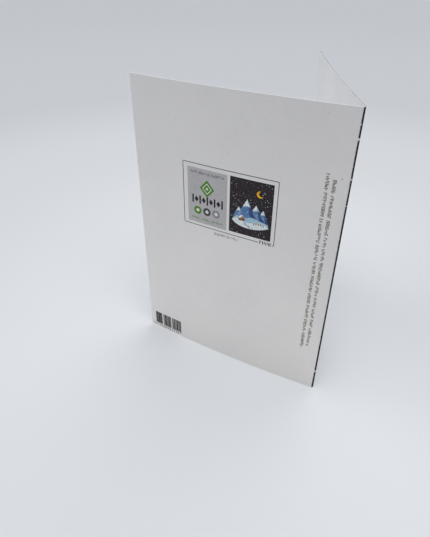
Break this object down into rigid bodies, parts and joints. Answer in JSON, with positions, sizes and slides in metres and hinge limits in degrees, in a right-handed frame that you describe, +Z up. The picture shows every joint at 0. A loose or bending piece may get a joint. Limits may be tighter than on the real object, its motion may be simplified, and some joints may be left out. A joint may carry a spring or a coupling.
{
  "type": "greeting card",
  "caption": "Folded A6 greeting card in uncoated white board, creased once along its spine and standing open on its bottom edge.",
  "frame": {"origin": "bottom centre of the card's bounding box, level with the bottom edges that it stands on", "axes": "+Z up along the crease; the back panel's chord lies along X with the crease at its +X end, its outer face looks towards -Y, and the front panel stands behind it towards +Y"},
  "size_m": [0.105, 0.0956, 0.148],
  "materials": {
    "card_board": "matte"
  },
  "bodies": {
    "root": {"folded_card": "card_board"}
  },
  "joints": []
}
